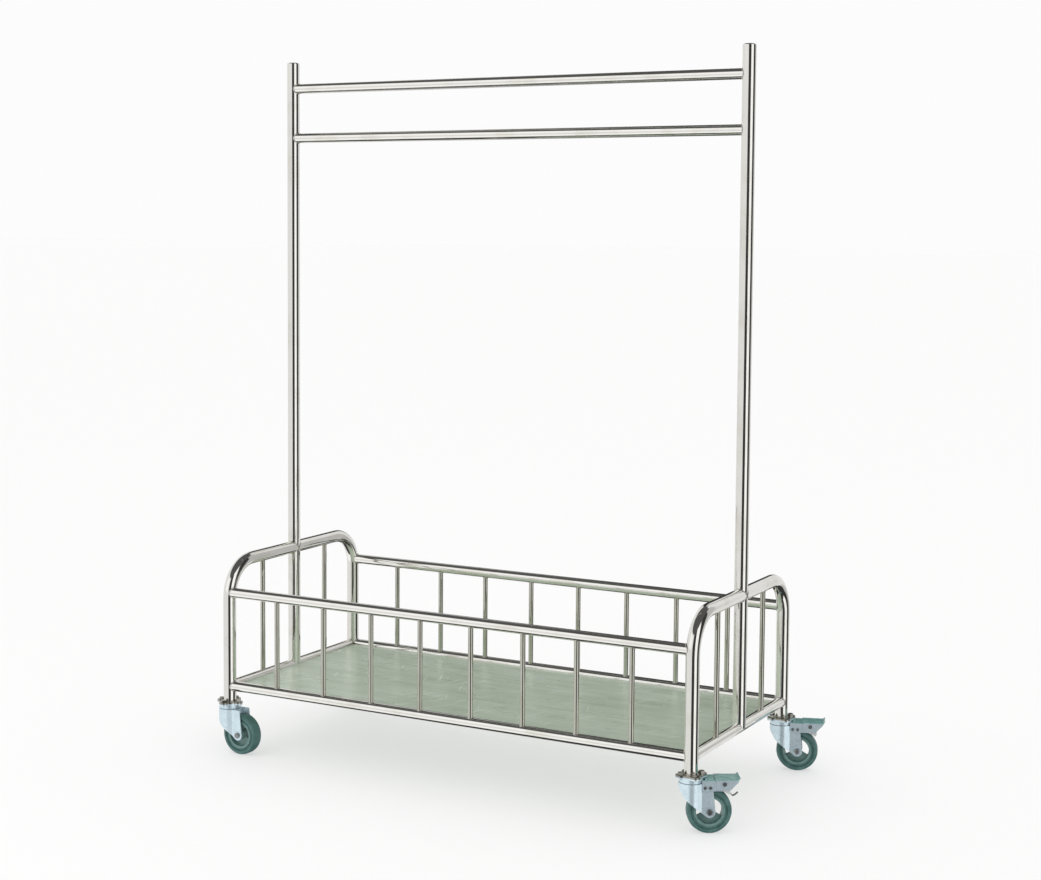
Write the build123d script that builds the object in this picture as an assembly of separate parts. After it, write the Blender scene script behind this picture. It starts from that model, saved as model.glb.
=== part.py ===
from build123d import *
import math
import os

# Hotel garment and luggage cart: two hooped end frames, railed deck, two masts with hanging
# bars, and four swivel casters, two of them with a foot brake.
# Millimetres, +Z up, +X along the cart towards the braked end, the floor at Z = 0.
# The origin is on the floor under the middle of the overall footprint.

# ---- Frame ----
LEG_SPAN_X = 1275.0        # leg centre to leg centre along the cart
LEG_SPAN_Y = 560.0         # leg centre to leg centre across the cart
TUBE_R = 15.9              # hoops, lower posts and masts, 1 1/4 inch tube
RAIL_R = 12.7              # rails and hanging bars, 1 inch tube
BALUSTER_R = 6.35          # 1/2 inch tube
TUBE_WALL = 1.2
BALUSTER_WALL = 1.0
HOOP_BEND_R = 90.0         # centreline radius of the hoop's two bends
RAIL_Z = 170.0             # centre height of the lower rails
TOP_RAIL_Z = 410.0
HOOP_Z = 485.0             # centre height of the hoop's crossbar
LOWER_BAR_Z = 1566.0
UPPER_BAR_Z = 1694.0
MAST_END_Z = 1757.0
CAP_HEIGHT = 5.0
CAP_SHOULDER_R = 4.0
CAP_PLUG_DEPTH = 14.0
SIDE_BALUSTERS = 8
BALUSTER_PITCH = 140.0     # along the front and back
END_BALUSTER_Y = 140.0     # each side of the post

# ---- Deck ----
DECK_SHEET = 1.5
DECK_LIP = 14.0
DECK_CORNER_R = 3.0
POST_NOTCH_GAP = 0.5       # between the deck's notch and the post that stands in it
STIFFENER_X = (-400.0, 0.0, 400.0)
STIFFENER_WIDTH = 30.0
STIFFENER_HEIGHT = 12.0

# ---- Leg foot and caster head, heights above the floor ----
FLANGE_TOP_Z = 132.0
FLANGE_THICKNESS = 4.0
FLANGE_EDGE_R = 1.0
PLATE_THICKNESS = 3.5
PLATE_BODY_R = 27.0
LOBE_R = 12.0
LOBE_CENTRE_R = 25.0       # also the bolt circle's radius
LOBE_BLEND_R = 5.0
BOLT_R = 4.0
BOLT_HEAD_R = 7.2
BOLT_HEAD_HEIGHT = 5.3
BOLT_HEAD_CHAMFER = 1.2
RACE_BOTTOM_Z = 115.2
RACE_OUTER_R = 27.0
RACE_INNER_R = 17.0
BALL_R = 2.5
BALL_RING_R = 22.0
BALL_Z = 114.6
BALL_COUNT = 14
KING_PIN_R = 6.0
KING_PIN_HEAD_R = 9.0
KING_PIN_TOP_HEAD = 3.0      # head heights
KING_PIN_LOW_HEAD = 4.0
RUNNING_GAP = 0.05         # radial clearance of a shaft in its hole
FREE_GAP = 0.3             # clearance between parts that turn past each other

# ---- Fork ----
CROWN_TOP_Z = 114.0
CROWN_THICKNESS = 3.5
CROWN_R = 28.0
FORK_SHEET = 2.5
ARM_OUTER_V = 20.5         # half the width across the arms
ARM_START_U = 22.0         # where the taper from the crown meets the flat arms
ARM_REACH_U = 60.0
BOSS_R = 13.0
SKIRT_FRONT_U = -30.0      # the skirt's front edge drops straight to SKIRT_LOW_Z, then slants
SKIRT_LOW_Z = 104.0
SKIRT_KNEE = (-13.0, 78.0)
ARM_BACK_U = 46.0          # where the arm's back edge meets the crown's height
TRAIL = 40.0               # wheel axle behind the swivel axis

# ---- Wheel ----
TYRE_R = 50.8
TYRE_SEAT_R = 35.0
# one side of the tyre's section, as (radius, half width)
TYRE_SIDE = [(35.0, 12.0), (38.0, 13.2), (39.0, 11.8), (40.5, 11.8), (41.5, 15.0)]
TYRE_SHOULDER = [(46.5, 15.0), (49.6, 12.6), (50.8, 7.0)]
RIM_INNER_R = 29.5
RIM_HALF_WIDTH = 13.0
HUB_R = 12.0
HUB_HALF_WIDTH = 17.4
BUSH_R = 8.5
SLEEVE_R = 6.0
AXLE_R = 4.0
SPOKE_COUNT = 3
FIRST_SPOKE_DEG = 90.0
SPOKE_WIDTH = 5.0
SPOKE_DEPTH = 6.0
WEB_THICKNESS = 6.0        # of the plate that closes the window opposite the first spoke
AXLE_HEAD_R = 7.0
AXLE_HEAD_HEIGHT = 4.5
AXLE_HEAD_EDGE_R = 2.0
AXLE_NUT_R = 7.5           # across the corners, halved
AXLE_NUT_HEIGHT = 6.5
AXLE_END = 1.0             # of the shank past its nut

# ---- Foot brake, u is along the trail and v across the caster ----
PIVOT_U = 72.0
PIVOT_Z = 115.0
PIVOT_R = 3.0
PIVOT_HEAD_R = 4.6
PIVOT_HEAD_HEIGHT = 2.0
BRACKET_SHEET = 2.0
BRACKET_BACK_U = 80.0
BRACKET_TOP_Z = 120.5      # behind the cover, under the pedal
BRACKET_LOW_Z = 98.5
BRACKET_HEEL = (105.0, 66.0)   # the slanted back corner: its height, and where it ends along u
COVER_TOP_Z = 123.5
COVER_START_U = 29.0
COVER_END_U = 50.5
PEDAL_SHEET = 1.5
PEDAL_TOP_Z = 124.8
PEDAL_INNER_U = 51.5
PEDAL_TIP_U = 105.0
PEDAL_LOW_Z = 101.5
PEDAL_CHEEK_US = (54.0, 57.0, 86.0, 103.0)   # front edge, low front, low back, upper back
PEDAL_CHEEK_BACK_Z = 119.5
TIP_RISE = 3.5             # of the pressed-up lip at the tip
PEDAL_TRAVEL_DEG = 12.0
RIVET_US = (29.0, 41.0)
RIVET_Z = 106.0
RIVET_R = 2.0
RIVET_HEAD_R = 3.4
RIVET_HEAD_HEIGHT = 1.6
SHOE_GAP = 0.5             # shoe to tyre with the pedal fully down
SHOE_THICKNESS = 6.0
SHOE_ARC_DEG = (42.0, 62.0)
SHOE_HALF_WIDTH = 11.0
STEM_U = 80.5              # the post that joins the shoe to the pedal
STEM_LENGTH = 7.0
STEM_LOW_Z = 93.0

# corner: (side along X, side along Y, heading of the trail, turn of the lobed plates, braked)
CASTERS = {
    "front_left": (-1, -1, -2.0, 0.0, False),
    "front_right": (1, -1, 30.0, 45.0, True),
    "back_left": (-1, 1, -14.0, 0.0, False),
    "back_right": (1, 1, 19.0, 45.0, True),
}

PLATE_BOTTOM_Z = FLANGE_TOP_Z - FLANGE_THICKNESS - PLATE_THICKNESS
ARM_INNER_V = ARM_OUTER_V - FORK_SHEET
BRACKET_V = ARM_OUTER_V + BRACKET_SHEET
CHEEK_INNER_V = BRACKET_V + FREE_GAP
CHEEK_OUTER_V = CHEEK_INNER_V + PEDAL_SHEET
HALF_X = LEG_SPAN_X / 2
HALF_Y = LEG_SPAN_Y / 2


# ---- Shared shapes ----
def rod(start, end, radius):
    """A solid round bar from start to end."""
    span = Vector(*end) - Vector(*start)
    return Solid.make_cylinder(radius, span.length, Plane(origin=start, z_dir=span))


def tube(start, end, radius, wall):
    """A round tube from start to end."""
    return rod(start, end, radius) - rod(start, end, radius - wall)


def slab(outline, half_v):
    """A (u, z) outline made solid from v = -half_v to +half_v."""
    face = Plane.XZ * outline
    return extrude(face, amount=half_v, both=True)


def flat_strip(start_u, end_u, top_z, sheet):
    """The (u, z) outline of a level sheet seen edge on."""
    return Pos((start_u + end_u) / 2, top_z - sheet / 2) * Rectangle(end_u - start_u, sheet)


def side_plates(outline, inner_v, outer_v):
    """The same (u, z) outline as a pair of plates, one each side of the caster."""
    return slab(outline, outer_v) - slab(outline, inner_v)


def turned(profile):
    """A (radius, z) profile turned about the Z axis."""
    return revolve(Plane.XZ * profile, Axis.Z)


def ring(outer_r, inner_r, low_z, high_z):
    """A flat ring about the Z axis."""
    flat = Circle(outer_r) - Circle(inner_r)
    return Pos(0, 0, low_z) * extrude(flat, amount=high_z - low_z)


def about_axle(shape):
    """Lays a shape made about the Z axis along the wheel's axle."""
    return Pos(TRAIL, 0, TYRE_R) * Rot(90, 0, 0) * shape


def across_rod(u, z, radius, low_v, high_v):
    """A round bar across the caster at (u, z)."""
    return rod((u, low_v, z), (u, high_v, z), radius)


def tangent_point(point, centre, radius, side):
    """Where the line from point touches the circle, on the side given by +1 or -1."""
    away = math.atan2(point[1] - centre[1], point[0] - centre[0])
    swing = math.acos(radius / math.dist(point, centre))
    angle = away + side * swing
    return (centre[0] + radius * math.cos(angle), centre[1] + radius * math.sin(angle))


# ---- Frame tubes ----
def leg_rod(side_x, side_y):
    x = side_x * HALF_X
    y = side_y * HALF_Y
    return rod((x, y, 0), (x, y, HOOP_Z), TUBE_R)


def long_rod(side_y, z):
    y = side_y * HALF_Y
    return rod((-HALF_X, y, z), (HALF_X, y, z), RAIL_R)


def cross_rod(side_x, z, radius):
    x = side_x * HALF_X
    return rod((x, -HALF_Y, z), (x, HALF_Y, z), radius)


def hoop_sweep(side_x, section):
    """The section carried up one leg, over both bends and down the other leg."""
    x = side_x * HALF_X
    corners = [
        (x, -HALF_Y, FLANGE_TOP_Z),
        (x, -HALF_Y, HOOP_Z),
        (x, HALF_Y, HOOP_Z),
        (x, HALF_Y, FLANGE_TOP_Z),
    ]
    path = FilletPolyline(*corners, radius=HOOP_BEND_R)
    return sweep(Plane(origin=path @ 0, z_dir=path % 0) * section, path)


def hoop(side_x):
    """Both legs and the crossbar of one end, bent from one tube."""
    return hoop_sweep(side_x, Circle(TUBE_R) - Circle(TUBE_R - TUBE_WALL))


def end_rail(side_x):
    x = side_x * HALF_X
    whole = tube((x, -HALF_Y, RAIL_Z), (x, HALF_Y, RAIL_Z), RAIL_R, TUBE_WALL)
    for side_y in (-1, 1):
        whole -= leg_rod(side_x, side_y)
        whole -= long_rod(side_y, RAIL_Z)
    return whole


def long_rail(side_y, z):
    y = side_y * HALF_Y
    whole = tube((-HALF_X, y, z), (HALF_X, y, z), RAIL_R, TUBE_WALL)
    for side_x in (-1, 1):
        whole -= hoop_sweep(side_x, Circle(TUBE_R))
    return whole


def lower_post(side_x):
    x = side_x * HALF_X
    whole = tube((x, 0, RAIL_Z), (x, 0, HOOP_Z), TUBE_R, TUBE_WALL)
    whole -= cross_rod(side_x, RAIL_Z, RAIL_R)
    return whole - cross_rod(side_x, HOOP_Z, TUBE_R)


def mast(side_x):
    x = side_x * HALF_X
    whole = tube((x, 0, HOOP_Z), (x, 0, MAST_END_Z), TUBE_R, TUBE_WALL)
    return whole - cross_rod(side_x, HOOP_Z, TUBE_R)


def mast_cap(side_x):
    """A pressed-in end plug with a rounded shoulder."""
    head = Pos(0, 0, MAST_END_Z) * extrude(Circle(TUBE_R), amount=CAP_HEIGHT)
    head = fillet(head.edges().group_by(Axis.Z)[-1], CAP_SHOULDER_R)
    plug = Pos(0, 0, MAST_END_Z) * extrude(Circle(TUBE_R - TUBE_WALL), amount=-CAP_PLUG_DEPTH)
    return Pos(side_x * HALF_X, 0, 0) * (head + plug)


def hanging_bar(z):
    whole = tube((-HALF_X, 0, z), (HALF_X, 0, z), RAIL_R, TUBE_WALL)
    for side_x in (-1, 1):
        x = side_x * HALF_X
        whole -= rod((x, 0, z - TUBE_R * 2), (x, 0, z + TUBE_R * 2), TUBE_R)
    return whole


def side_balusters(side_y):
    y = side_y * HALF_Y
    first_x = -BALUSTER_PITCH * (SIDE_BALUSTERS - 1) / 2
    pieces = []
    for index in range(SIDE_BALUSTERS):
        x = first_x + index * BALUSTER_PITCH
        piece = tube((x, y, RAIL_Z), (x, y, TOP_RAIL_Z), BALUSTER_R, BALUSTER_WALL)
        piece -= long_rod(side_y, RAIL_Z)
        pieces.append(piece - long_rod(side_y, TOP_RAIL_Z))
    return pieces


def end_balusters():
    pieces = []
    for side_x in (-1, 1):
        for y in (-END_BALUSTER_Y, END_BALUSTER_Y):
            x = side_x * HALF_X
            piece = tube((x, y, RAIL_Z), (x, y, HOOP_Z), BALUSTER_R, BALUSTER_WALL)
            piece -= cross_rod(side_x, RAIL_Z, RAIL_R)
            pieces.append(piece - cross_rod(side_x, HOOP_Z, TUBE_R))
    return pieces


# ---- Deck ----
def deck_panel():
    """A sheet pan, lips down, its top level with the rails' centres, notched for the posts."""
    length = LEG_SPAN_X - 2 * RAIL_R
    width = LEG_SPAN_Y - 2 * RAIL_R
    outer = RectangleRounded(length, width, DECK_CORNER_R)
    inner_size = (length - 2 * DECK_SHEET, width - 2 * DECK_SHEET)
    inner = RectangleRounded(*inner_size, DECK_CORNER_R - DECK_SHEET)
    pan = Pos(0, 0, RAIL_Z - DECK_LIP) * extrude(outer, amount=DECK_LIP)
    hollow_depth = DECK_LIP - DECK_SHEET
    pan -= Pos(0, 0, RAIL_Z - DECK_LIP) * extrude(inner, amount=hollow_depth)
    for x in (-HALF_X, HALF_X):
        pan -= rod((x, 0, RAIL_Z - DECK_LIP), (x, 0, RAIL_Z), TUBE_R + POST_NOTCH_GAP)
    return pan


def deck_stiffeners():
    """Box sections welded under the deck, between the lips."""
    top_z = RAIL_Z - DECK_SHEET
    length = LEG_SPAN_Y - 2 * RAIL_R - 2 * DECK_SHEET
    section = Rectangle(STIFFENER_WIDTH, STIFFENER_HEIGHT)
    section -= Rectangle(STIFFENER_WIDTH - 2 * DECK_SHEET, STIFFENER_HEIGHT - 2 * DECK_SHEET)
    bar = extrude(Plane.XZ * section, amount=length / 2, both=True)
    return [Pos(x, 0, top_z - STIFFENER_HEIGHT / 2) * bar for x in STIFFENER_X]


# ---- Leg foot and caster head ----
def lobe_places():
    return [Rot(0, 0, 90 * quarter) * Pos(LOBE_CENTRE_R, 0, 0) for quarter in range(4)]


def lobed_outline():
    outline = Circle(PLATE_BODY_R)
    for place in lobe_places():
        outline += place * Circle(LOBE_R)
    return fillet(outline.vertices(), LOBE_BLEND_R)


def foot_flange():
    """The plate welded to the foot of a leg."""
    base_z = FLANGE_TOP_Z - FLANGE_THICKNESS
    plate = Pos(0, 0, base_z) * extrude(lobed_outline(), amount=FLANGE_THICKNESS)
    plate = fillet(plate.edges().group_by(Axis.Z)[-1], FLANGE_EDGE_R)
    plate -= rod((0, 0, base_z), (0, 0, FLANGE_TOP_Z), KING_PIN_HEAD_R + 1)
    for place in lobe_places():
        plate -= place * rod((0, 0, base_z), (0, 0, FLANGE_TOP_Z), BOLT_R)
    return plate


def flange_bolt():
    """A hexagon head bolt, its head's corners rounded off at the top."""
    hexagon = extrude(RegularPolygon(BOLT_HEAD_R, 6), amount=BOLT_HEAD_HEIGHT)
    crown = extrude(Circle(BOLT_HEAD_R), amount=BOLT_HEAD_HEIGHT)
    crown = chamfer(crown.edges().group_by(Axis.Z)[-1], BOLT_HEAD_CHAMFER)
    shank = rod((0, 0, PLATE_BOTTOM_Z), (0, 0, FLANGE_TOP_Z), BOLT_R)
    return Pos(0, 0, FLANGE_TOP_Z) * (hexagon & crown) + shank


def top_plate():
    """The caster's fixed plate with the upper ball race pressed down from it."""
    plate = Pos(0, 0, PLATE_BOTTOM_Z) * extrude(lobed_outline(), amount=PLATE_THICKNESS)
    race = ring(RACE_OUTER_R, RACE_INNER_R, RACE_BOTTOM_Z, PLATE_BOTTOM_Z)
    groove = Pos(BALL_RING_R, BALL_Z) * Circle(BALL_R + RUNNING_GAP)
    plate = plate + race - turned(groove)
    top_z = PLATE_BOTTOM_Z + PLATE_THICKNESS
    plate -= rod((0, 0, PLATE_BOTTOM_Z), (0, 0, top_z), KING_PIN_R)
    for place in lobe_places():
        plate -= place * rod((0, 0, PLATE_BOTTOM_Z), (0, 0, top_z), BOLT_R)
    return plate


def king_pin():
    """The rivet that the fork turns on, headed above the plate and below the crown."""
    low_z = CROWN_TOP_Z - CROWN_THICKNESS - FREE_GAP
    high_z = PLATE_BOTTOM_Z + PLATE_THICKNESS
    low_head = rod((0, 0, low_z - KING_PIN_LOW_HEAD), (0, 0, low_z), KING_PIN_HEAD_R)
    high_head = rod((0, 0, high_z), (0, 0, high_z + KING_PIN_TOP_HEAD), KING_PIN_HEAD_R)
    return low_head + rod((0, 0, low_z), (0, 0, high_z), KING_PIN_R) + high_head


def swivel_balls():
    ball = Pos(BALL_RING_R, 0, BALL_Z) * Sphere(BALL_R)
    return [Rot(0, 0, 360 * index / BALL_COUNT) * ball for index in range(BALL_COUNT)]


# ---- Fork ----
def fork_plan(inset, reach):
    """The fork seen from above: a round crown that tapers to two flat arms."""
    radius = CROWN_R - inset
    arm_v = ARM_OUTER_V - inset
    bend = (ARM_START_U, arm_v)
    touch = tangent_point(bend, (0, 0), radius, 1)
    half = [touch, bend, (reach, arm_v)]
    mirrored = [(u, -v) for u, v in reversed(half)]
    return Circle(radius) + make_face(Polyline(*half, *mirrored, close=True))


def fork_side():
    """The fork seen from the side: a slanted front edge down to the axle boss."""
    boss = (TRAIL, TYRE_R)
    low_touch = tangent_point(SKIRT_KNEE, boss, BOSS_R, 1)
    back_top = (ARM_BACK_U, CROWN_TOP_Z)
    back_touch = tangent_point(back_top, boss, BOSS_R, -1)
    front = [(SKIRT_FRONT_U, CROWN_TOP_Z), (SKIRT_FRONT_U, SKIRT_LOW_Z), SKIRT_KNEE]
    outline = Polyline(*front, low_touch, boss, back_touch, back_top, close=True)
    return make_face(outline) + Pos(*boss) * Circle(BOSS_R)


def fork():
    """One folded sheet: crown, wrapped front skirt and two arms."""
    outer = fork_plan(0, ARM_REACH_U)
    inner = fork_plan(FORK_SHEET, ARM_REACH_U + 1)
    walls = extrude(outer - inner, amount=CROWN_TOP_Z)
    crown = extrude(fork_plan(0, CROWN_R), amount=CROWN_THICKNESS)
    crown = Pos(0, 0, CROWN_TOP_Z - CROWN_THICKNESS) * crown
    folded = (walls & slab(fork_side(), CROWN_R + 2)) + crown
    folded -= rod((0, 0, 0), (0, 0, CROWN_TOP_Z), KING_PIN_R + RUNNING_GAP)
    folded -= turned(Pos(BALL_RING_R, BALL_Z) * Circle(BALL_R + FREE_GAP))
    axle_hole = about_axle(extrude(Circle(AXLE_R), amount=CROWN_R, both=True))
    return folded - axle_hole


# ---- Wheel and axle ----
def tyre():
    """Solid rubber tyre with a crowned tread and two steps in each side."""
    half = TYRE_SIDE + TYRE_SHOULDER
    mirrored = [(r, -v) for r, v in reversed(half)]
    return about_axle(turned(make_face(Polyline(*half, *mirrored, close=True))))


def rim_web():
    """The plate that closes one window, from spoke to spoke."""
    half_angle = math.radians(180 / SPOKE_COUNT)
    corner = (2 * TYRE_R * math.cos(half_angle), 2 * TYRE_R * math.sin(half_angle))
    wedge = make_face(Polyline((0, 0), corner, (corner[0], -corner[1]), close=True))
    outline = wedge & Circle((RIM_INNER_R + TYRE_SEAT_R) / 2)
    web = extrude(outline, amount=WEB_THICKNESS / 2, both=True)
    return Rot(0, 0, FIRST_SPOKE_DEG + 180) * web


def wheel_rim():
    """Rim band, hub, spokes and one closed window moulded in one."""
    band = ring(TYRE_SEAT_R, RIM_INNER_R, -RIM_HALF_WIDTH, RIM_HALF_WIDTH)
    hub = ring(HUB_R, BUSH_R, -HUB_HALF_WIDTH, HUB_HALF_WIDTH)
    bare = band + hub + rim_web()
    spoke = Pos(RIM_INNER_R / 2, 0, 0) * Box(RIM_INNER_R + 1, SPOKE_WIDTH, SPOKE_DEPTH)
    for index in range(SPOKE_COUNT):
        bare += Rot(0, 0, FIRST_SPOKE_DEG + 360 * index / SPOKE_COUNT) * spoke
    bore = rod((0, 0, -HUB_HALF_WIDTH), (0, 0, HUB_HALF_WIDTH), BUSH_R)
    return about_axle(bare - bore)


def wheel_bush():
    bore_r = SLEEVE_R + RUNNING_GAP
    return about_axle(ring(BUSH_R, bore_r, -HUB_HALF_WIDTH, HUB_HALF_WIDTH))


def axle_sleeve():
    """The spacer clamped between the arms, which the bush turns on."""
    return about_axle(ring(SLEEVE_R, AXLE_R, -ARM_INNER_V, ARM_INNER_V))


def axle_bolt():
    """The axle bolt, round headed, and its nut."""
    head = extrude(Circle(AXLE_HEAD_R), amount=AXLE_HEAD_HEIGHT)
    head = fillet(head.edges().group_by(Axis.Z)[-1], AXLE_HEAD_EDGE_R)
    nut = extrude(RegularPolygon(AXLE_NUT_R, 6) - Circle(AXLE_R), amount=-AXLE_NUT_HEIGHT)
    shank_length = 2 * ARM_OUTER_V + AXLE_NUT_HEIGHT + AXLE_END
    bolt = head + extrude(Circle(AXLE_R), amount=-shank_length)
    near_face = Pos(0, 0, ARM_OUTER_V)
    far_face = Pos(0, 0, -ARM_OUTER_V)
    return [about_axle(near_face * bolt), about_axle(far_face * nut)]


# ---- Foot brake ----
def brake_bracket():
    """Two side plates riveted outside the arms, joined by a cover over the crown's back."""
    start_u = ARM_START_U + 0.5
    heel_z, heel_u = BRACKET_HEEL
    top = [(start_u, COVER_TOP_Z), (COVER_END_U, COVER_TOP_Z), (COVER_END_U + 2, BRACKET_TOP_Z)]
    back = [(BRACKET_BACK_U, BRACKET_TOP_Z), (BRACKET_BACK_U, heel_z), (heel_u, BRACKET_LOW_Z)]
    outline = Polyline((start_u, BRACKET_LOW_Z), *top, *back, close=True)
    cheeks = side_plates(make_face(outline), ARM_OUTER_V, BRACKET_V)
    cover = slab(flat_strip(COVER_START_U, COVER_END_U, COVER_TOP_Z, BRACKET_SHEET), BRACKET_V)
    bracket = cheeks + cover
    bracket -= across_rod(PIVOT_U, PIVOT_Z, PIVOT_R, -BRACKET_V, BRACKET_V)
    for u in RIVET_US:
        bracket -= across_rod(u, RIVET_Z, RIVET_R, -BRACKET_V, BRACKET_V)
    return bracket


def brake_fasteners():
    """The pedal's pivot pin, headed at both ends, and the bracket's four rivets."""
    pin_v = CHEEK_OUTER_V + FREE_GAP
    pin = across_rod(PIVOT_U, PIVOT_Z, PIVOT_R, -pin_v, pin_v)
    for side in (-1, 1):
        ends = (side * pin_v, side * (pin_v + PIVOT_HEAD_HEIGHT))
        pin += across_rod(PIVOT_U, PIVOT_Z, PIVOT_HEAD_R, min(ends), max(ends))
    pieces = [pin]
    for u in RIVET_US:
        for side in (-1, 1):
            pieces.append(bracket_rivet(u, side))
    return pieces


def bracket_rivet(u, side):
    outer_v = BRACKET_V + RIVET_HEAD_HEIGHT
    inner_v = ARM_INNER_V - RIVET_HEAD_HEIGHT
    spans = [(inner_v, ARM_INNER_V, RIVET_HEAD_R), (BRACKET_V, outer_v, RIVET_HEAD_R)]
    rivet = across_rod(u, RIVET_Z, RIVET_R, *sorted((side * inner_v, side * outer_v)))
    for low, high, radius in spans:
        rivet += across_rod(u, RIVET_Z, radius, *sorted((side * low, side * high)))
    return rivet


def drilled_fork():
    """The fork of a braked caster, with the bracket's rivet holes."""
    drilled = fork()
    for u in RIVET_US:
        drilled -= across_rod(u, RIVET_Z, RIVET_R, -CROWN_R, CROWN_R)
    return drilled


def brake_pedal():
    """A channel over the bracket, with a pressed-up tip."""
    front_u, low_front_u, low_back_u, back_u = PEDAL_CHEEK_US
    front_low_z = PEDAL_LOW_Z + low_front_u - front_u
    upper = [(front_u, front_low_z), (front_u, PEDAL_TOP_Z), (PEDAL_TIP_U, PEDAL_TOP_Z)]
    lower = [(back_u, PEDAL_CHEEK_BACK_Z), (low_back_u, PEDAL_LOW_Z), (low_front_u, PEDAL_LOW_Z)]
    cheek = make_face(Polyline(*upper, *lower, close=True))
    cheeks = side_plates(cheek, CHEEK_INNER_V, CHEEK_OUTER_V)
    top = slab(flat_strip(PEDAL_INNER_U, PEDAL_TIP_U, PEDAL_TOP_Z, PEDAL_SHEET), CHEEK_OUTER_V)
    pedal = cheeks + top + slab(pedal_lip(), CHEEK_OUTER_V)
    hole_r = PIVOT_R + RUNNING_GAP
    return pedal - across_rod(PIVOT_U, PIVOT_Z, hole_r, -CHEEK_OUTER_V, CHEEK_OUTER_V)


def pedal_lip():
    """The (u, z) outline of the turned-up edge at the pedal's tip."""
    root_u = PEDAL_TIP_U - 2 * PEDAL_SHEET
    low = (root_u, PEDAL_TOP_Z - PEDAL_SHEET)
    crest = (PEDAL_TIP_U + 1, PEDAL_TOP_Z + TIP_RISE)
    edge = (PEDAL_TIP_U + 1 + PEDAL_SHEET, PEDAL_TOP_Z + TIP_RISE - 1)
    return make_face(Polyline(low, (root_u, PEDAL_TOP_Z), crest, edge, close=True))


def brake_shoe():
    """The block under the pedal that the pedal swings against the tyre."""
    wheel = (TRAIL, TYRE_R)
    inner_r = TYRE_R + SHOE_GAP
    wedge = [wheel]
    for degrees in SHOE_ARC_DEG:
        angle = math.radians(degrees)
        reach = 2 * TYRE_R
        wedge.append((TRAIL + reach * math.cos(angle), TYRE_R + reach * math.sin(angle)))
    pad = Pos(*wheel) * (Circle(inner_r + SHOE_THICKNESS) - Circle(inner_r))
    pad &= make_face(Polyline(*wedge, close=True))
    released = Pos(PIVOT_U, 0, PIVOT_Z) * Rot(0, -PEDAL_TRAVEL_DEG, 0)
    block = released * Pos(-PIVOT_U, 0, -PIVOT_Z) * slab(pad, SHOE_HALF_WIDTH)
    stem_top_z = PEDAL_TOP_Z - PEDAL_SHEET
    start_u = STEM_U - STEM_LENGTH / 2
    post = flat_strip(start_u, start_u + STEM_LENGTH, stem_top_z, stem_top_z - STEM_LOW_Z)
    return block + slab(post, SHOE_HALF_WIDTH)


# ---- Assembly ----
def frame_nodes():
    nodes = {}
    for name, side_x in (("left", -1), ("right", 1)):
        nodes[name + "_hoop"] = [hoop(side_x)]
        nodes[name + "_end_rail"] = [end_rail(side_x)]
        nodes[name + "_lower_post"] = [lower_post(side_x)]
        nodes[name + "_mast"] = [mast(side_x)]
    for name, side_y in (("front", -1), ("back", 1)):
        nodes[name + "_bottom_rail"] = [long_rail(side_y, RAIL_Z)]
        nodes[name + "_top_rail"] = [long_rail(side_y, TOP_RAIL_Z)]
        nodes[name + "_balusters"] = side_balusters(side_y)
    nodes["end_balusters"] = end_balusters()
    nodes["mast_caps"] = [mast_cap(-1), mast_cap(1)]
    nodes["lower_hanging_bar"] = [hanging_bar(LOWER_BAR_Z)]
    nodes["upper_hanging_bar"] = [hanging_bar(UPPER_BAR_Z)]
    nodes["deck_panel"] = [deck_panel()]
    nodes["deck_stiffeners"] = deck_stiffeners()
    return nodes


def foot_nodes():
    """What the four feet share: one node for each kind of piece."""
    nodes = {"foot_flanges": [], "flange_bolts": [], "king_pins": [], "swivel_balls": []}
    for side_x, side_y, _, plate_turn, _ in CASTERS.values():
        foot = Pos(side_x * HALF_X, side_y * HALF_Y, 0) * Rot(0, 0, plate_turn)
        nodes["foot_flanges"].append(foot * foot_flange())
        nodes["flange_bolts"] += [foot * place * flange_bolt() for place in lobe_places()]
        nodes["king_pins"].append(foot * king_pin())
        nodes["swivel_balls"] += [foot * ball for ball in swivel_balls()]
    return nodes


def caster_nodes(corner):
    side_x, side_y, heading, plate_turn, braked = CASTERS[corner]
    foot = Pos(side_x * HALF_X, side_y * HALF_Y, 0)
    local = {
        "fork": [drilled_fork() if braked else fork()],
        "axle_bolt": axle_bolt(),
        "axle_sleeve": [axle_sleeve()],
        "wheel_rim": [wheel_rim()],
        "wheel_bush": [wheel_bush()],
        "tyre": [tyre()],
    }
    if braked:
        local["brake_bracket"] = [brake_bracket()]
        local["brake_fasteners"] = brake_fasteners()
        local["brake_pedal"] = [brake_pedal()]
        local["brake_shoe"] = [brake_shoe()]
    place = foot * Rot(0, 0, heading)
    nodes = {corner + "_top_plate": [foot * Rot(0, 0, plate_turn) * top_plate()]}
    for name, pieces in local.items():
        nodes[corner + "_" + name] = [place * piece for piece in pieces]
    return nodes


def all_nodes():
    """Every node in the cart's own middle frame, before the footprint is centred."""
    nodes = frame_nodes() | foot_nodes()
    for corner in CASTERS:
        nodes |= caster_nodes(corner)
    return nodes


def footprint_shift(nodes):
    """The move that puts the middle of the overall footprint at the origin."""
    everything = Compound(children=[solid for group in nodes.values() for solid in solids_of(group)])
    middle = everything.bounding_box().center()
    return Pos(-middle.X, -middle.Y, 0)


def solids_of(pieces):
    return [solid for piece in pieces for solid in piece.solids()]


def main():
    os.makedirs("parts", exist_ok=True)
    nodes = all_nodes()
    shift = footprint_shift(nodes)
    for name, pieces in nodes.items():
        solids = [shift * solid for solid in solids_of(pieces)]
        export_step(Compound(children=solids), "parts/" + name + ".step")
    print("frame middle at", shift.position)


if __name__ == "__main__":
    main()
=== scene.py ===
import math

import bmesh
import bpy
from mathutils import Matrix, Vector


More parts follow.
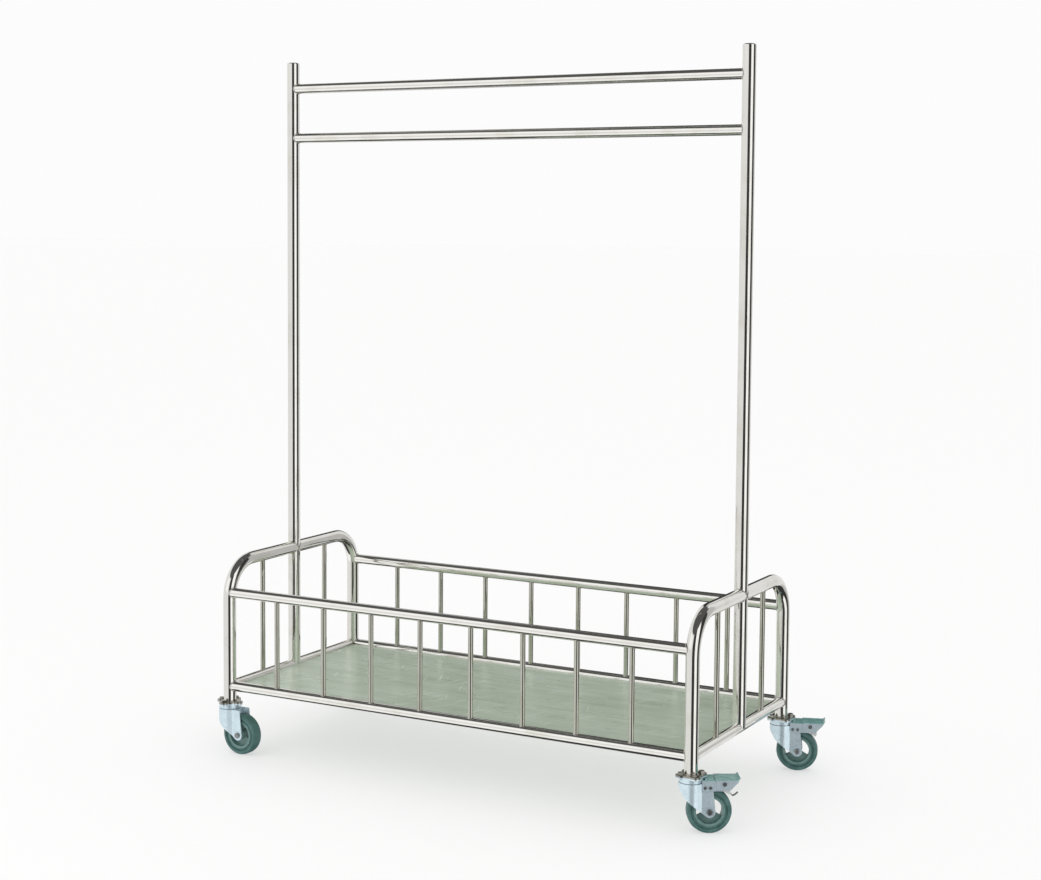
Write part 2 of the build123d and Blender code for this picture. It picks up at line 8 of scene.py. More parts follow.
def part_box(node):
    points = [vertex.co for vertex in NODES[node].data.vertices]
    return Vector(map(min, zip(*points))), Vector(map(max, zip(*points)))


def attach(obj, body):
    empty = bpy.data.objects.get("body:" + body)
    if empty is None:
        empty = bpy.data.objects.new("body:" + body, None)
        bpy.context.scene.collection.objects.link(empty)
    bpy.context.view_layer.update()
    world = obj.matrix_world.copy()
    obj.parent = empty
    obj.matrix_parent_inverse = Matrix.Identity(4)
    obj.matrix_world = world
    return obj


# Looks for the hotel luggage cart. Metres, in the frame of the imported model, which stands on Z = 0.

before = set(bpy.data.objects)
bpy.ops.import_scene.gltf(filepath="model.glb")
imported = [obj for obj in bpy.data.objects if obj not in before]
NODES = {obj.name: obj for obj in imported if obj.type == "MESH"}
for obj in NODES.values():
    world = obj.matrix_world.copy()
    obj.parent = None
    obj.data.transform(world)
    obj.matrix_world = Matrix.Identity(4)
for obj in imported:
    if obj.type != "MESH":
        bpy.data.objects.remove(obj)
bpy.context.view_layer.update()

MM = 0.001
X, Y, Z = Vector((1, 0, 0)), Vector((0, 1, 0)), Vector((0, 0, 1))

# ---- Camera ----
CAMERA_PLACE = Vector((2.2115, -4.0436, 1.3473))
CAMERA_YAW = 0.4998        # radians, to the left of +Y
CAMERA_PITCH = 0.073       # radians, downwards
CAMERA_ROLL = 0.007        # radians, its right side up
LENS_MM = 64.53
SENSOR_MM = 36.0
CAMERA_SHIFT_Y = -0.0768

# ---- Studio ----
FLOOR_SIZE = 200.0
FLOOR_COLOUR = (0.42, 0.42, 0.418)
FLOOR_ROUGHNESS = 0.9
FLOOR_SPECULAR = 0.1
FLOOR_GLOW = 0.53          # light from the floor itself, so that the shadow under the cart stays pale
BACKDROP_COLOUR = (0.975, 0.975, 0.975)
ROOM_LIGHT = 1.04          # the even light that the floor and other matt surfaces get
DARK_ROOM = 0.04           # what the polished tubes reflect outside the softboxes
KEY_LIGHT_PLACE = Vector((-1.6, -3.0, 3.4))
KEY_LIGHT_TARGET = Vector((0, 0, 0.4))
KEY_LIGHT_SIZE = 1.6
KEY_LIGHT_WATTS = 12.0
# what the polished tubes reflect: (azimuth, half width, elevation, half height, brightness),
# in degrees, azimuth from the camera's side and positive to the picture's right
SOFTBOXES = [
    (-96.0, 78.0, -4.0, 46.0, 0.80),
    (-60.0, 26.0, 22.0, 16.0, 0.22),
    (-70.0, 40.0, -36.0, 14.0, 0.22),
    (45.0, 21.0, -5.0, 52.0, 1.05),
    (146.0, 20.0, 8.0, 40.0, 0.80),
    (115.0, 11.0, 4.0, 36.0, 0.50),
    (0.0, 190.0, 70.0, 26.0, 0.05),
]
SOFTBOX_SIDE_FADE = 2.0    # degrees to each side of a softbox's upright edges
SOFTBOX_TOP_FADE = 3.0     # and above and below its level ones

# ---- Frame sizes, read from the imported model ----
CORNERS = ("front_left", "front_right", "back_left", "back_right")


def middle(node):
    low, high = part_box(node)
    return (low + high) / 2


def thickness(node, axis):
    low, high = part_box(node)
    return high[axis] - low[axis]


TUBE_R = thickness("left_mast", 0) / 2
RAIL_R = thickness("front_top_rail", 1) / 2
BALUSTER_R = thickness("front_balusters", 1) / 2
LEFT_X = middle("left_mast").x
RIGHT_X = middle("right_mast").x
MIDDLE_Y = middle("left_mast").y
FRONT_Y = middle("front_bottom_rail").y
BACK_Y = middle("back_bottom_rail").y
RAIL_Z = middle("front_bottom_rail").z
TOP_RAIL_Z = middle("front_top_rail").z
HOOP_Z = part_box("left_hoop")[1].z - TUBE_R
FLANGE_TOP_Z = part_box("left_hoop")[0].z
LOWER_BAR_Z = middle("lower_hanging_bar").z
UPPER_BAR_Z = middle("upper_hanging_bar").z
SIDE_BALUSTER_COUNT = 8
HOOP_SWAY = 1.26 * MM      # how far the hoop has bent inwards at the top rail's height
PEDAL_COAT_Z = 123.3 * MM  # over the floor: the pedals are coated above this height
COVER_COAT_Z = 121.5 * MM  # and the brackets' covers above this one


# ---- Material building blocks ----
WHOLE_SPAN = (0.0, 1.0)
NOISE_SPAN = (0.30, 0.70)  # nearly all of a noise texture's values lie between these
COAT_FADE = 0.2 * MM       # above and below the edge of the coat
SCRATCH_FADE = 0.05        # of the noise's value, from bare to scratched
SCRATCH_RATIO = 0.05       # a scratch's width over its length


def new_material(name):
    material = bpy.data.materials.new(name)
    material.use_nodes = True
    tree = material.node_tree
    return material, tree, tree.nodes["Principled BSDF"]


def place_on_object(tree, stretch=(1, 1, 1), turn=(0, 0, 0)):
    """Object coordinates, turned and then stretched, so the pattern stays with its piece."""
    coordinates = tree.nodes.new("ShaderNodeTexCoord")
    mapping = tree.nodes.new("ShaderNodeMapping")
    mapping.vector_type = "TEXTURE"
    mapping.inputs["Scale"].default_value = [1 / factor for factor in stretch]
    mapping.inputs["Rotation"].default_value = [math.radians(angle) for angle in turn]
    tree.links.new(coordinates.outputs["Object"], mapping.inputs["Vector"])
    return mapping.outputs["Vector"]


def noise(tree, scale=1.0, stretch=(1, 1, 1), turn=(0, 0, 0), detail=3.0):
    """Clouds of values about 0.5, with scale times stretch of them to the metre along each axis."""
    texture = tree.nodes.new("ShaderNodeTexNoise")
    texture.inputs["Scale"].default_value = scale
    texture.inputs["Detail"].default_value = detail
    tree.links.new(place_on_object(tree, stretch, turn), texture.inputs["Vector"])
    return texture.outputs["Fac"]


def remap(tree, value, span, target=WHOLE_SPAN):
    """The value taken smoothly from the span to the target range, and held at its ends."""
    ranged = tree.nodes.new("ShaderNodeMapRange")
    ranged.interpolation_type = "SMOOTHSTEP"
    ranged.inputs["From Min"].default_value = span[0]
    ranged.inputs["From Max"].default_value = span[1]
    ranged.inputs["To Min"].default_value = target[0]
    ranged.inputs["To Max"].default_value = target[1]
    tree.links.new(value, ranged.inputs["Value"])
    return ranged.outputs["Result"]


def blend_colours(tree, factor, first, second):
    mix = tree.nodes.new("ShaderNodeMix")
    mix.data_type = "RGBA"
    tree.links.new(factor, mix.inputs["Factor"])
    for socket, colour in ((mix.inputs["A"], first), (mix.inputs["B"], second)):
        if isinstance(colour, tuple):
            socket.default_value = (*colour, 1.0)
        else:
            tree.links.new(colour, socket)
    return mix.outputs["Result"]


def combine(tree, operation, first, second):
    node = tree.nodes.new("ShaderNodeMath")
    node.operation = operation
    for socket, value in zip(node.inputs, (first, second)):
        if isinstance(value, (int, float)):
            socket.default_value = value
        else:
            tree.links.new(value, socket)
    return node.outputs["Value"]


def bump(tree, height, distance):
    node = tree.nodes.new("ShaderNodeBump")
    node.inputs["Distance"].default_value = distance
    tree.links.new(height, node.inputs["Height"])
    return node.outputs["Normal"]


def above(tree, height):
    """1 on the piece above the height over the floor, at rest, and 0 below it."""
    split = tree.nodes.new("ShaderNodeSeparateXYZ")
    tree.links.new(place_on_object(tree), split.inputs["Vector"])
    return remap(tree, split.outputs["Z"], (height - COAT_FADE, height + COAT_FADE))


def scratches(tree, groups):
    """Thin straight marks that come and go: (turn about Z in degrees, number to the metre across
    them, noise threshold, strength) for each group, all added up."""
    marks = 0.0
    for turn, density, threshold, strength in groups:
        along = density * SCRATCH_RATIO
        line = noise(tree, stretch=(along, density, along), turn=(0, 0, turn), detail=1.0)
        mark = remap(tree, line, (threshold, threshold + SCRATCH_FADE))
        marks = combine(tree, "ADD", combine(tree, "MULTIPLY", mark, strength), marks)
    return marks


# ---- Materials: each blends a colour and a second tone of it ----
STEEL_TONES = (0.845, 0.835, 0.795), (0.775, 0.76, 0.70)
SHADED_ROD_TONES = (0.575, 0.57, 0.505), (0.50, 0.49, 0.42)      # painted shade: a darker copy of the tube steel's tones, for the dimmer look of the thin uprights
WELD_TONES = (0.74, 0.70, 0.60), (0.56, 0.56, 0.57)
DECK_TONES = (0.405, 0.485, 0.375), (0.535, 0.615, 0.510)
FLANGE_TONES = (0.44, 0.43, 0.39), (0.30, 0.29, 0.26)
FASTENER_TONES = (0.38, 0.40, 0.40), (0.25, 0.265, 0.27)
ZINC_TONES = (0.70, 0.835, 0.905), (0.63, 0.765, 0.835)
BEARING_TONES = (0.50, 0.50, 0.49), (0.42, 0.42, 0.41)
COAT_TONES = (0.125, 0.290, 0.270), (0.180, 0.365, 0.340)
RUBBER_TONES = (0.054, 0.134, 0.124), (0.085, 0.182, 0.172)
CORE_TONES = (0.115, 0.215, 0.200), (0.150, 0.260, 0.243)
NYLON_TONES = (0.66, 0.67, 0.62), (0.58, 0.60, 0.56)
SHOE_TONES = (0.60, 0.63, 0.63), (0.50, 0.53, 0.53)
DECK_SCRATCH_COLOUR = (0.80, 0.85, 0.76)
COAT_SCUFF_COLOUR = (0.42, 0.52, 0.50)
ZINC_METALLIC = 0.52
DECK_METALLIC = 0.12
STEEL_ROUGHNESS = (0.045, 0.10)    # over the polishing lines
SMUDGE_ROUGHNESS = 0.07            # what a smudge adds to it
WELD_ROUGHNESS = 0.26
DECK_ROUGHNESS = (0.26, 0.36)      # from patch to patch
RUBBER_ROUGHNESS = (0.42, 0.62)    # clean and dusty
COAT_ROUGHNESS = (0.24, 0.45)      # glossy and scuffed
DECK_SCRATCHES = [(82.0, 300.0, 0.68, 0.4), (58.0, 120.0, 0.70, 1.0),
                  (74.0, 170.0, 0.71, 1.0), (112.0, 210.0, 0.72, 1.0)]
DECK_SCRATCH_SPAN = (0.0, 1.6)     # crossing scratches add up, and 1.6 is the brightest
COAT_SCUFFS = [(35.0, 900.0, 0.66, 1.0), (-20.0, 700.0, 0.68, 1.0)]
COAT_SCUFF_SPAN = (0.0, 1.4)


def polished_tube(name, polish_stretch, tones):
    """Mirror-polished stainless: faint polishing lines, and smudges that are a little duller."""
    material, tree, shader = new_material(name)
    shader.inputs["Metallic"].default_value = 1.0
    smudge = remap(tree, noise(tree, scale=14.0, detail=4.0), (0.46, 0.68))
    lines = noise(tree, stretch=polish_stretch, detail=2.0)
    tree.links.new(blend_colours(tree, smudge, *tones), shader.inputs["Base Color"])
    line_rough = remap(tree, lines, NOISE_SPAN, STEEL_ROUGHNESS)
    smudge_rough = combine(tree, "MULTIPLY", smudge, SMUDGE_ROUGHNESS)
    tree.links.new(combine(tree, "ADD", line_rough, smudge_rough), shader.inputs["Roughness"])
    tree.links.new(bump(tree, lines, 0.006 * MM), shader.inputs["Normal"])
    return material


def weld_bead():
    """Polished-down weld: a little rougher than the tube, straw and blue from the heat."""
    material, tree, shader = new_material("weld_bead")
    shader.inputs["Metallic"].default_value = 1.0
    shader.inputs["Roughness"].default_value = WELD_ROUGHNESS
    tint = remap(tree, noise(tree, scale=160.0), (0.42, 0.62))
    tree.links.new(blend_colours(tree, tint, *WELD_TONES), shader.inputs["Base Color"])
    tree.links.new(bump(tree, noise(tree, scale=1400.0), 0.08 * MM), shader.inputs["Normal"])
    return material


def deck_sheet():
    """Satin grey-green sheet: cloudy, streaked tone along the cart, scratches across it."""
    material, tree, shader = new_material("deck_sheet")
    shader.inputs["Metallic"].default_value = DECK_METALLIC
    cloud = remap(tree, noise(tree, scale=3.2, stretch=(1, 2.2, 1), detail=1.5), NOISE_SPAN)
    streak = remap(tree, noise(tree, stretch=(5, 60, 5), detail=2.0), NOISE_SPAN)
    tone = combine(tree, "MULTIPLY", combine(tree, "ADD", cloud, streak), 0.5)
    colour = blend_colours(tree, tone, *DECK_TONES)
    marks = remap(tree, scratches(tree, DECK_SCRATCHES), DECK_SCRATCH_SPAN)
    marked = blend_colours(tree, marks, colour, DECK_SCRATCH_COLOUR)
    tree.links.new(marked, shader.inputs["Base Color"])
    wiped = noise(tree, scale=22.0, stretch=(0.35, 1, 1), detail=1.0)
    tree.links.new(remap(tree, wiped, NOISE_SPAN, DECK_ROUGHNESS), shader.inputs["Roughness"])
    grain = noise(tree, stretch=(30, 600, 30), detail=2.0)
    tree.links.new(bump(tree, grain, 0.002 * MM), shader.inputs["Normal"])
    return material


def plated_steel(name, tones, roughness, metallic):
    """Plated or plain steel: soft patches of tone, rubbed smoother in places, fine orange-peel."""
    material, tree, shader = new_material(name)
    shader.inputs["Metallic"].default_value = metallic
    patch = remap(tree, noise(tree, scale=55.0, detail=1.5), NOISE_SPAN)
    tree.links.new(blend_colours(tree, patch, *tones), shader.inputs["Base Color"])
    rubbed = noise(tree, scale=90.0, detail=1.0)
    rough = remap(tree, rubbed, NOISE_SPAN, (roughness - 0.01, roughness + 0.02))
    tree.links.new(rough, shader.inputs["Roughness"])
    peel = noise(tree, scale=500.0, detail=1.0)
    tree.links.new(bump(tree, peel, 0.003 * MM), shader.inputs["Normal"])
    return material


def tyre_rubber():
    """Grey-green rubber: dusty patches, which are duller too, and a faint mould grain."""
    material, tree, shader = new_material("tyre_rubber")
    dust = remap(tree, noise(tree, scale=60.0, detail=5.0), (0.42, 0.70))
    tree.links.new(blend_colours(tree, dust, *RUBBER_TONES), shader.inputs["Base Color"])
    tree.links.new(remap(tree, dust, WHOLE_SPAN, RUBBER_ROUGHNESS), shader.inputs["Roughness"])
    tree.links.new(bump(tree, noise(tree, scale=1100.0), 0.06 * MM), shader.inputs["Normal"])
    return material


def moulded_plastic(name, tones, roughness):
    """Moulded plastic: slight flow marks and a fine grain."""
    material, tree, shader = new_material(name)
    flow = remap(tree, noise(tree, scale=45.0, stretch=(1, 1, 3)), (0.35, 0.65))
    tree.links.new(blend_colours(tree, flow, *tones), shader.inputs["Base Color"])
    worn = noise(tree, scale=200.0)
    rough = remap(tree, worn, NOISE_SPAN, (roughness - 0.06, roughness + 0.08))
    tree.links.new(rough, shader.inputs["Roughness"])
    tree.links.new(bump(tree, noise(tree, scale=1600.0), 0.03 * MM), shader.inputs["Normal"])
    return material


def coated_steel(name, coat_from):
    """Zinc-plated steel whose top, above the height, has a glossy grey-green coat with shoe scuffs."""
    material, tree, shader = new_material(name)
    coated = above(tree, coat_from)
    scuffs = remap(tree, scratches(tree, COAT_SCUFFS), COAT_SCUFF_SPAN)
    scuffed = combine(tree, "MULTIPLY", scuffs, coated)
    tone = remap(tree, noise(tree, scale=70.0, detail=1.5), NOISE_SPAN)
    coat = blend_colours(tree, scuffed, blend_colours(tree, tone, *COAT_TONES), COAT_SCUFF_COLOUR)
    plate = blend_colours(tree, tone, *ZINC_TONES)
    tree.links.new(blend_colours(tree, coated, plate, coat), shader.inputs["Base Color"])
    tree.links.new(remap(tree, coated, WHOLE_SPAN, (ZINC_METALLIC, 0.0)), shader.inputs["Metallic"])
    tree.links.new(remap(tree, scuffed, WHOLE_SPAN, COAT_ROUGHNESS), shader.inputs["Roughness"])
    peel = noise(tree, scale=500.0, detail=1.0)
    tree.links.new(bump(tree, peel, 0.005 * MM), shader.inputs["Normal"])
    return material


def floor_paint():
    material, tree, shader = new_material("floor_paint")
    shader.inputs["Base Color"].default_value = (*FLOOR_COLOUR, 1)
    shader.inputs["Roughness"].default_value = FLOOR_ROUGHNESS
    shader.inputs["Specular IOR Level"].default_value = FLOOR_SPECULAR
    shader.inputs["Emission Color"].default_value = (1, 1, 1, 1)
    shader.inputs["Emission Strength"].default_value = FLOOR_GLOW
    return material


# the polishing lines run along the tube, so they are dense across it: lines to the metre
LINES_ALONG = 25
LINES_ACROSS = 1500
ALONG_X = (LINES_ALONG, LINES_ACROSS, LINES_ACROSS)
ALONG_Y = (LINES_ACROSS, LINES_ALONG, LINES_ACROSS)
ALONG_Z = (LINES_ACROSS, LINES_ACROSS, LINES_ALONG)

TUBE_X = polished_tube("polished_tube_x", ALONG_X, STEEL_TONES)
TUBE_Y = polished_tube("polished_tube_y", ALONG_Y, STEEL_TONES)
TUBE_Z = polished_tube("polished_tube_z", ALONG_Z, STEEL_TONES)
# the thin uprights: the tube steel with darker tones, painted shade for their dimmer reflections
ROD_Z = polished_tube("polished_rod_z", ALONG_Z, SHADED_ROD_TONES)
WELD = weld_bead()
DECK = deck_sheet()
FLANGE = plated_steel("flange_steel", FLANGE_TONES, roughness=0.22, metallic=0.92)
FASTENER = plated_steel("fastener_steel", FASTENER_TONES, roughness=0.26, metallic=0.80)
ZINC = plated_steel("zinc_plate", ZINC_TONES, roughness=0.27, metallic=ZINC_METALLIC)
BEARING = plated_steel("bearing_steel", BEARING_TONES, roughness=0.22, metallic=0.9)
RUBBER = tyre_rubber()
CORE = moulded_plastic("wheel_core", CORE_TONES, roughness=0.36)
NYLON = moulded_plastic("bush_nylon", NYLON_TONES, roughness=0.45)
SHOE = moulded_plastic("brake_block", SHOE_TONES, roughness=0.55)
PEDAL = coated_steel("brake_pedal_steel", PEDAL_COAT_Z)
BRACKET = coated_steel("brake_bracket_steel", COVER_COAT_Z)

FRAME_MATERIALS = {
    "left_hoop": TUBE_Z, "right_hoop": TUBE_Z,
    "left_end_rail": TUBE_Y, "right_end_rail": TUBE_Y,
    "left_lower_post": TUBE_Z, "right_lower_post": TUBE_Z,
    "left_mast": TUBE_Z, "right_mast": TUBE_Z,
    "front_bottom_rail": TUBE_X, "back_bottom_rail": TUBE_X,
    "front_top_rail": TUBE_X, "back_top_rail": TUBE_X,
    "lower_hanging_bar": TUBE_X, "upper_hanging_bar": TUBE_X,
    "front_balusters": ROD_Z, "back_balusters": ROD_Z, "end_balusters": ROD_Z,
    "mast_caps": TUBE_Z,
    "deck_panel": DECK, "deck_stiffeners": DECK,
    "foot_flanges": FLANGE, "flange_bolts": FLANGE,
    "king_pins": ZINC, "swivel_balls": BEARING,
}
CASTER_MATERIALS = {
    "top_plate": ZINC, "fork": ZINC, "axle_bolt": FASTENER, "axle_sleeve": BEARING,
    "wheel_rim": CORE, "wheel_bush": NYLON, "tyre": RUBBER,
    "brake_bracket": BRACKET, "brake_fasteners": FASTENER, "brake_pedal": PEDAL, "brake_shoe": SHOE,
}


def dress_cad_nodes():
    materials = dict(FRAME_MATERIALS)
    for corner in CORNERS:
        for part, material in CASTER_MATERIALS.items():
            materials[corner + "_" + part] = material
    for name, node in NODES.items():
        node.data.materials.clear()
        node.data.materials.append(materials[name])


# ---- Welds ----
BALUSTER_BEAD = 1.1 * MM   # a bead's radius
RAIL_BEAD = 1.6 * MM
BEAD_SIDES = 8
BEAD_RIPPLE = 0.14         # of the radius
RIPPLE_POINTS = 3          # from one ripple to the next
BALUSTER_POINTS = 36
RAIL_POINTS = 72
FLANGE_POINTS = 64


def joint_curve(centre, out, big_axis, big_r, small_r, count, sway=Vector()):
    """Where a small tube leaving centre along out meets the big tube, whose axis is off by sway."""
    across = out.cross(big_axis)
    points = []
    for step in range(count):
        angle = 2 * math.pi * step / count
        side = small_r * math.sin(angle)
        height = math.sqrt(max(big_r ** 2 - (side - sway.dot(across)) ** 2, 0))
        points.append(centre + out * height + big_axis * small_r * math.cos(angle) + across * side)
    return points


def ring_curve(centre, radius):
    """A level circle, where a leg stands on its flange."""
    turns = [2 * math.pi * step / FLANGE_POINTS for step in range(FLANGE_POINTS)]
    return [centre + Vector((radius * math.cos(t), radius * math.sin(t), 0)) for t in turns]


def add_bead(mesh, points, radius):
    """A closed rippled bead along the points, added to the mesh."""
    rings = []
    count = len(points)
    turns = [2 * math.pi * side / BEAD_SIDES for side in range(BEAD_SIDES)]
    first = (points[1] - points[-1]).orthogonal()
    for index, point in enumerate(points):
        tangent = (points[(index + 1) % count] - points[index - 1]).normalized()
        first = (first - tangent * first.dot(tangent)).normalized()
        second = tangent.cross(first)
        swell = radius * (1.0 + BEAD_RIPPLE * math.sin(index * 2 * math.pi / RIPPLE_POINTS))
        ring = [point + swell * (math.cos(t) * first + math.sin(t) * second) for t in turns]
        rings.append([mesh.verts.new(place) for place in ring])
    for index, ring in enumerate(rings):
        following = rings[(index + 1) % count]
        offset = 0
        if index == count - 1:      # the rings turn a little on the way round, so the seam is matched up
            gaps = [(ring[0].co - vertex.co).length for vertex in following]
            offset = gaps.index(min(gaps))
        for side in range(BEAD_SIDES):
            quad = (ring[side], ring[(side + 1) % BEAD_SIDES],
                    following[(side + 1 + offset) % BEAD_SIDES], following[(side + offset) % BEAD_SIDES])
            mesh.faces.new(quad)


def ridden_piece(name, mesh, material, body):
    """The mesh as a smooth piece of its own that moves with the CAD body."""
    data = bpy.data.meshes.new(name)
    mesh.to_mesh(data)
    mesh.free()
    data.shade_smooth()
    data.materials.append(material)
    piece = bpy.data.objects.new(name, data)
    bpy.context.scene.collection.objects.link(piece)
    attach(piece, body)


def weld_piece(name, curves, radius):
    mesh = bmesh.new()
    for points in curves:
        add_bead(mesh, points, radius)
    bmesh.ops.recalc_face_normals(mesh, faces=mesh.faces)
    ridden_piece(name, mesh, WELD, "cart_frame")


def side_baluster_places():
    """The X of each baluster of a long side."""
    low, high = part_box("front_balusters")
    first = low.x + BALUSTER_R
    pitch = (high.x - low.x - 2 * BALUSTER_R) / (SIDE_BALUSTER_COUNT - 1)
    return [first + pitch * index for index in range(SIDE_BALUSTER_COUNT)]


def side_welds(name, y):
    """Both ends of every baluster of one long side."""
    curves = []
    for x in side_baluster_places():
        foot = Vector((x, y, RAIL_Z))
        head = Vector((x, y, TOP_RAIL_Z))
        curves.append(joint_curve(foot, Z, X, RAIL_R, BALUSTER_R, BALUSTER_POINTS))
        curves.append(joint_curve(head, -Z, X, RAIL_R, BALUSTER_R, BALUSTER_POINTS))
    weld_piece(name, curves, BALUSTER_BEAD)


def end_welds(name, x):
    """Both ends of the two balusters of one end."""
    low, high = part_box("end_balusters")
    curves = []
    for y in (low.y + BALUSTER_R, high.y - BALUSTER_R):
        foot = Vector((x, y, RAIL_Z))
        head = Vector((x, y, HOOP_Z))
        curves.append(joint_curve(foot, Z, Y, RAIL_R, BALUSTER_R, BALUSTER_POINTS))
        curves.append(joint_curve(head, -Z, Y, TUBE_R, BALUSTER_R, BALUSTER_POINTS))
    weld_piece(name, curves, BALUSTER_BEAD)


def frame_welds(name, x, inward):
    """The larger tubes of one end: rails to legs, post, mast, bars and flanges."""
    curves = []
    for y in (FRONT_Y, BACK_Y):
        to_middle = Y if y < MIDDLE_Y else -Y
        leg = Vector((x, y, RAIL_Z))
        curves.append(joint_curve(leg, inward, Z, TUBE_R, RAIL_R, RAIL_POINTS))
        curves.append(joint_curve(leg, to_middle, Z, TUBE_R, RAIL_R, RAIL_POINTS))
        top = Vector((x, y, TOP_RAIL_Z))
        sway = HOOP_SWAY * to_middle
        curves.append(joint_curve(top, inward, Z, TUBE_R, RAIL_R, RAIL_POINTS, sway))
        curves.append(ring_curve(Vector((x, y, FLANGE_TOP_Z)), TUBE_R))
    crossbar = Vector((x, MIDDLE_Y, HOOP_Z))
    curves.append(joint_curve(crossbar, Z, Y, TUBE_R, TUBE_R, RAIL_POINTS))
    curves.append(joint_curve(crossbar, -Z, Y, TUBE_R, TUBE_R, RAIL_POINTS))
    for z in (LOWER_BAR_Z, UPPER_BAR_Z):
        curves.append(joint_curve(Vector((x, MIDDLE_Y, z)), inward, Z, TUBE_R, RAIL_R, RAIL_POINTS))
    weld_piece(name, curves, RAIL_BEAD)


def make_welds():
    side_welds("front_baluster_welds", FRONT_Y)
    side_welds("back_baluster_welds", BACK_Y)
    end_welds("left_baluster_welds", LEFT_X)
    end_welds("right_baluster_welds", RIGHT_X)
    frame_welds("left_frame_welds", LEFT_X, X)
    frame_welds("right_frame_welds", RIGHT_X, -X)


# ---- Brake tongue ----
# millimetres: (from the leg's axis towards the wheel's axle, over the floor)
TONGUE_ROUTE = [(86.5, 91.5), (89.5, 85.5), (92.5, 82.5), (97.5, 84.5), (104.5, 90.5)]
TONGUE_HALF_WIDTH = 4.0 * MM
TONGUE_THICKNESS = 1.6 * MM
TONGUE_BEVEL = 0.25 * MM


def brake_tongue():
    """The bent strip at the end of the front right brake shoe."""
    leg = Vector((RIGHT_X, FRONT_Y, 0))
    axle = middle("front_right_axle_sleeve")
    along = Vector((axle.x - leg.x, axle.y - leg.y, 0)).normalized()
    across = Z.cross(along)
    side = across * TONGUE_HALF_WIDTH
    mesh = bmesh.new()
    rows = []
    route = [leg + along * (u * MM) + Z * (z * MM) for u, z in TONGUE_ROUTE]
    for index, point in enumerate(route):
        before = route[max(index - 1, 0)]
        after = route[min(index + 1, len(route) - 1)]
        lift = (after - before).normalized().cross(across) * TONGUE_THICKNESS / 2
        corners = (point - side - lift, point + side - lift, point + side + lift, point - side + lift)
        rows.append([mesh.verts.new(corner) for corner in corners])
    for row, following in zip(rows, rows[1:]):
        for index, vertex in enumerate(row):
            nearby = (index + 1) % len(row)
            mesh.faces.new((vertex, row[nearby], following[nearby], following[index]))
    mesh.faces.new(rows[0])
    mesh.faces.new(rows[-1])
    bmesh.ops.recalc_face_normals(mesh, faces=mesh.faces)
    bmesh.ops.bevel(mesh, geom=mesh.edges, offset=TONGUE_BEVEL, segments=2, affect="EDGES")
    ridden_piece("front_right_brake_tongue", mesh, FASTENER, "front_right_pedal")


# ---- Camera, light and floor ----
def camera_axes():
    forward = Vector((-math.sin(CAMERA_YAW) * math.cos(CAMERA_PITCH),
                      math.cos(CAMERA_YAW) * math.cos(CAMERA_PITCH),
                      -math.sin(CAMERA_PITCH)))
    level_right = Vector((math.cos(CAMERA_YAW), math.sin(CAMERA_YAW), 0))
    level_up = level_right.cross(forward)
    right = math.cos(CAMERA_ROLL) * level_right + math.sin(CAMERA_ROLL) * level_up
    return right, right.cross(forward), forward


def make_camera():
    data = bpy.data.cameras.new("camera")
    data.lens = LENS_MM
    data.sensor_width = SENSOR_MM
    data.shift_y = CAMERA_SHIFT_Y
    camera = bpy.data.objects.new("camera", data)
    bpy.context.scene.collection.objects.link(camera)
    right, up, forward = camera_axes()
    turn = Matrix((right, up, -forward)).transposed().to_4x4()
    camera.matrix_world = Matrix.Translation(CAMERA_PLACE) @ turn
    bpy.context.scene.camera = camera


def window(tree, angle, centre, half_width, fade):
    """1 inside the band of angles, 0 outside, soft to each side of its edges."""
    offset = combine(tree, "ABSOLUTE", combine(tree, "SUBTRACT", angle, math.radians(centre)), 0)
    edges = math.radians(half_width - fade), math.radians(half_width + fade)
    return remap(tree, offset, edges, (1.0, 0.0))


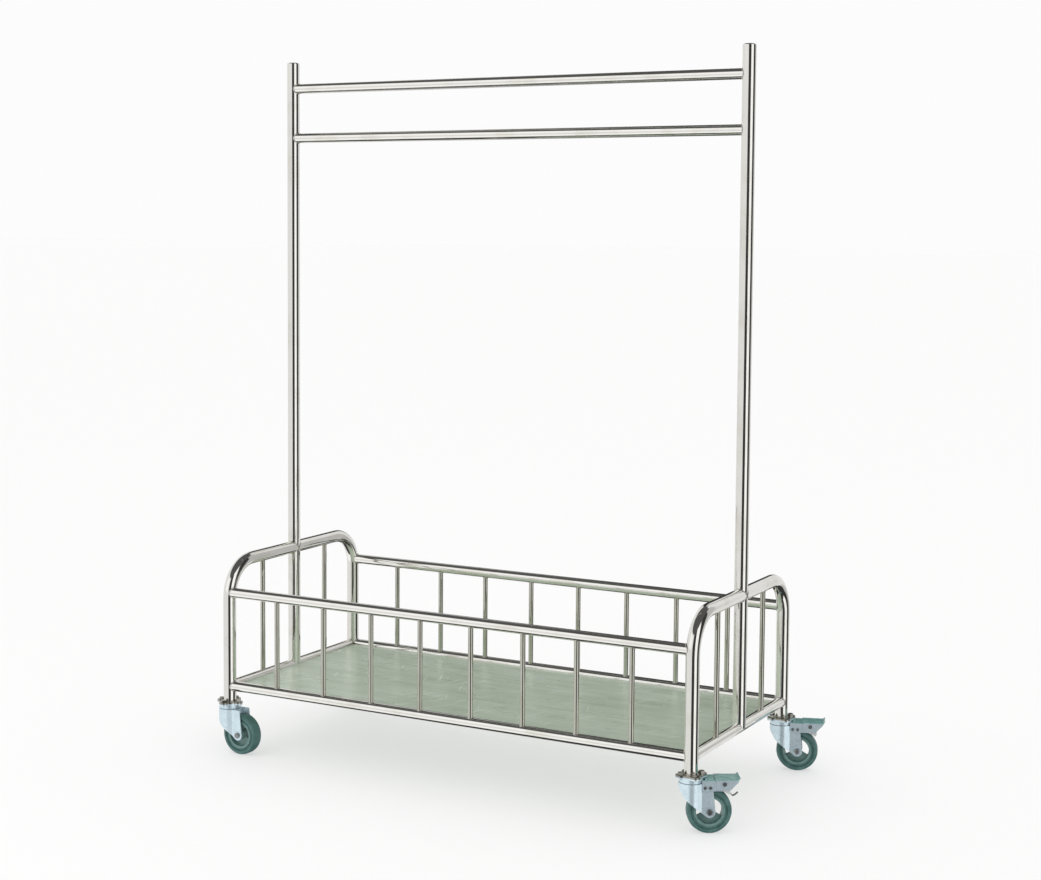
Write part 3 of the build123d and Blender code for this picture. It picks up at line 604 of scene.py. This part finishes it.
def softbox_light(tree):
    """How bright the room is in each direction, as the polished tubes see it."""
    coordinates = tree.nodes.new("ShaderNodeTexCoord")
    turn = tree.nodes.new("ShaderNodeMapping")
    turn.inputs["Rotation"].default_value = (0, 0, -CAMERA_YAW)
    tree.links.new(coordinates.outputs["Generated"], turn.inputs["Vector"])
    split = tree.nodes.new("ShaderNodeSeparateXYZ")
    tree.links.new(turn.outputs["Vector"], split.inputs["Vector"])
    towards_camera = combine(tree, "MULTIPLY", split.outputs["Y"], -1)
    azimuth = combine(tree, "ARCTAN2", split.outputs["X"], towards_camera)
    elevation = combine(tree, "ARCSINE", split.outputs["Z"], 0)
    light = DARK_ROOM
    for box_azimuth, half_width, box_elevation, half_height, brightness in SOFTBOXES:
        across = window(tree, azimuth, box_azimuth, half_width, SOFTBOX_SIDE_FADE)
        upright = window(tree, elevation, box_elevation, half_height, SOFTBOX_TOP_FADE)
        lit = combine(tree, "MULTIPLY", combine(tree, "MULTIPLY", across, upright), brightness)
        light = combine(tree, "ADD", lit, light)
    return light


def make_world():
    """A plain pale backdrop to the camera; softboxes in a dark room to the polished tubes."""
    world = bpy.data.worlds.new("studio")
    bpy.context.scene.world = world
    world.use_nodes = True
    tree = world.node_tree
    light = softbox_light(tree)
    grey = tree.nodes.new("ShaderNodeCombineColor")
    for channel in ("Red", "Green", "Blue"):
        tree.links.new(light, grey.inputs[channel])
    path = tree.nodes.new("ShaderNodeLightPath")
    even = (ROOM_LIGHT, ROOM_LIGHT, ROOM_LIGHT)
    lit = blend_colours(tree, path.outputs["Is Glossy Ray"], even, grey.outputs["Color"])
    shown = blend_colours(tree, path.outputs["Is Camera Ray"], lit, BACKDROP_COLOUR)
    tree.links.new(shown, tree.nodes["Background"].inputs["Color"])


def make_key_light():
    """A soft light from the front left, above, that isn't seen in the tubes."""
    data = bpy.data.lights.new("key", "AREA")
    data.shape = "SQUARE"
    data.size = KEY_LIGHT_SIZE
    data.energy = KEY_LIGHT_WATTS
    light = bpy.data.objects.new("key", data)
    bpy.context.scene.collection.objects.link(light)
    light.location = KEY_LIGHT_PLACE
    light.rotation_euler = (KEY_LIGHT_TARGET - KEY_LIGHT_PLACE).to_track_quat("-Z", "Y").to_euler()
    light.visible_camera = False
    light.visible_glossy = False


def make_floor():
    mesh = bmesh.new()
    bmesh.ops.create_grid(mesh, x_segments=2, y_segments=2, size=FLOOR_SIZE / 2)
    data = bpy.data.meshes.new("floor")
    mesh.to_mesh(data)
    mesh.free()
    data.materials.append(floor_paint())
    floor = bpy.data.objects.new("floor", data)
    bpy.context.scene.collection.objects.link(floor)
    floor.visible_glossy = False


bpy.context.scene.view_settings.view_transform = "Standard"
dress_cad_nodes()
make_welds()
brake_tongue()
make_camera()
make_world()
make_key_light()
make_floor()

bpy.context.view_layer.update()
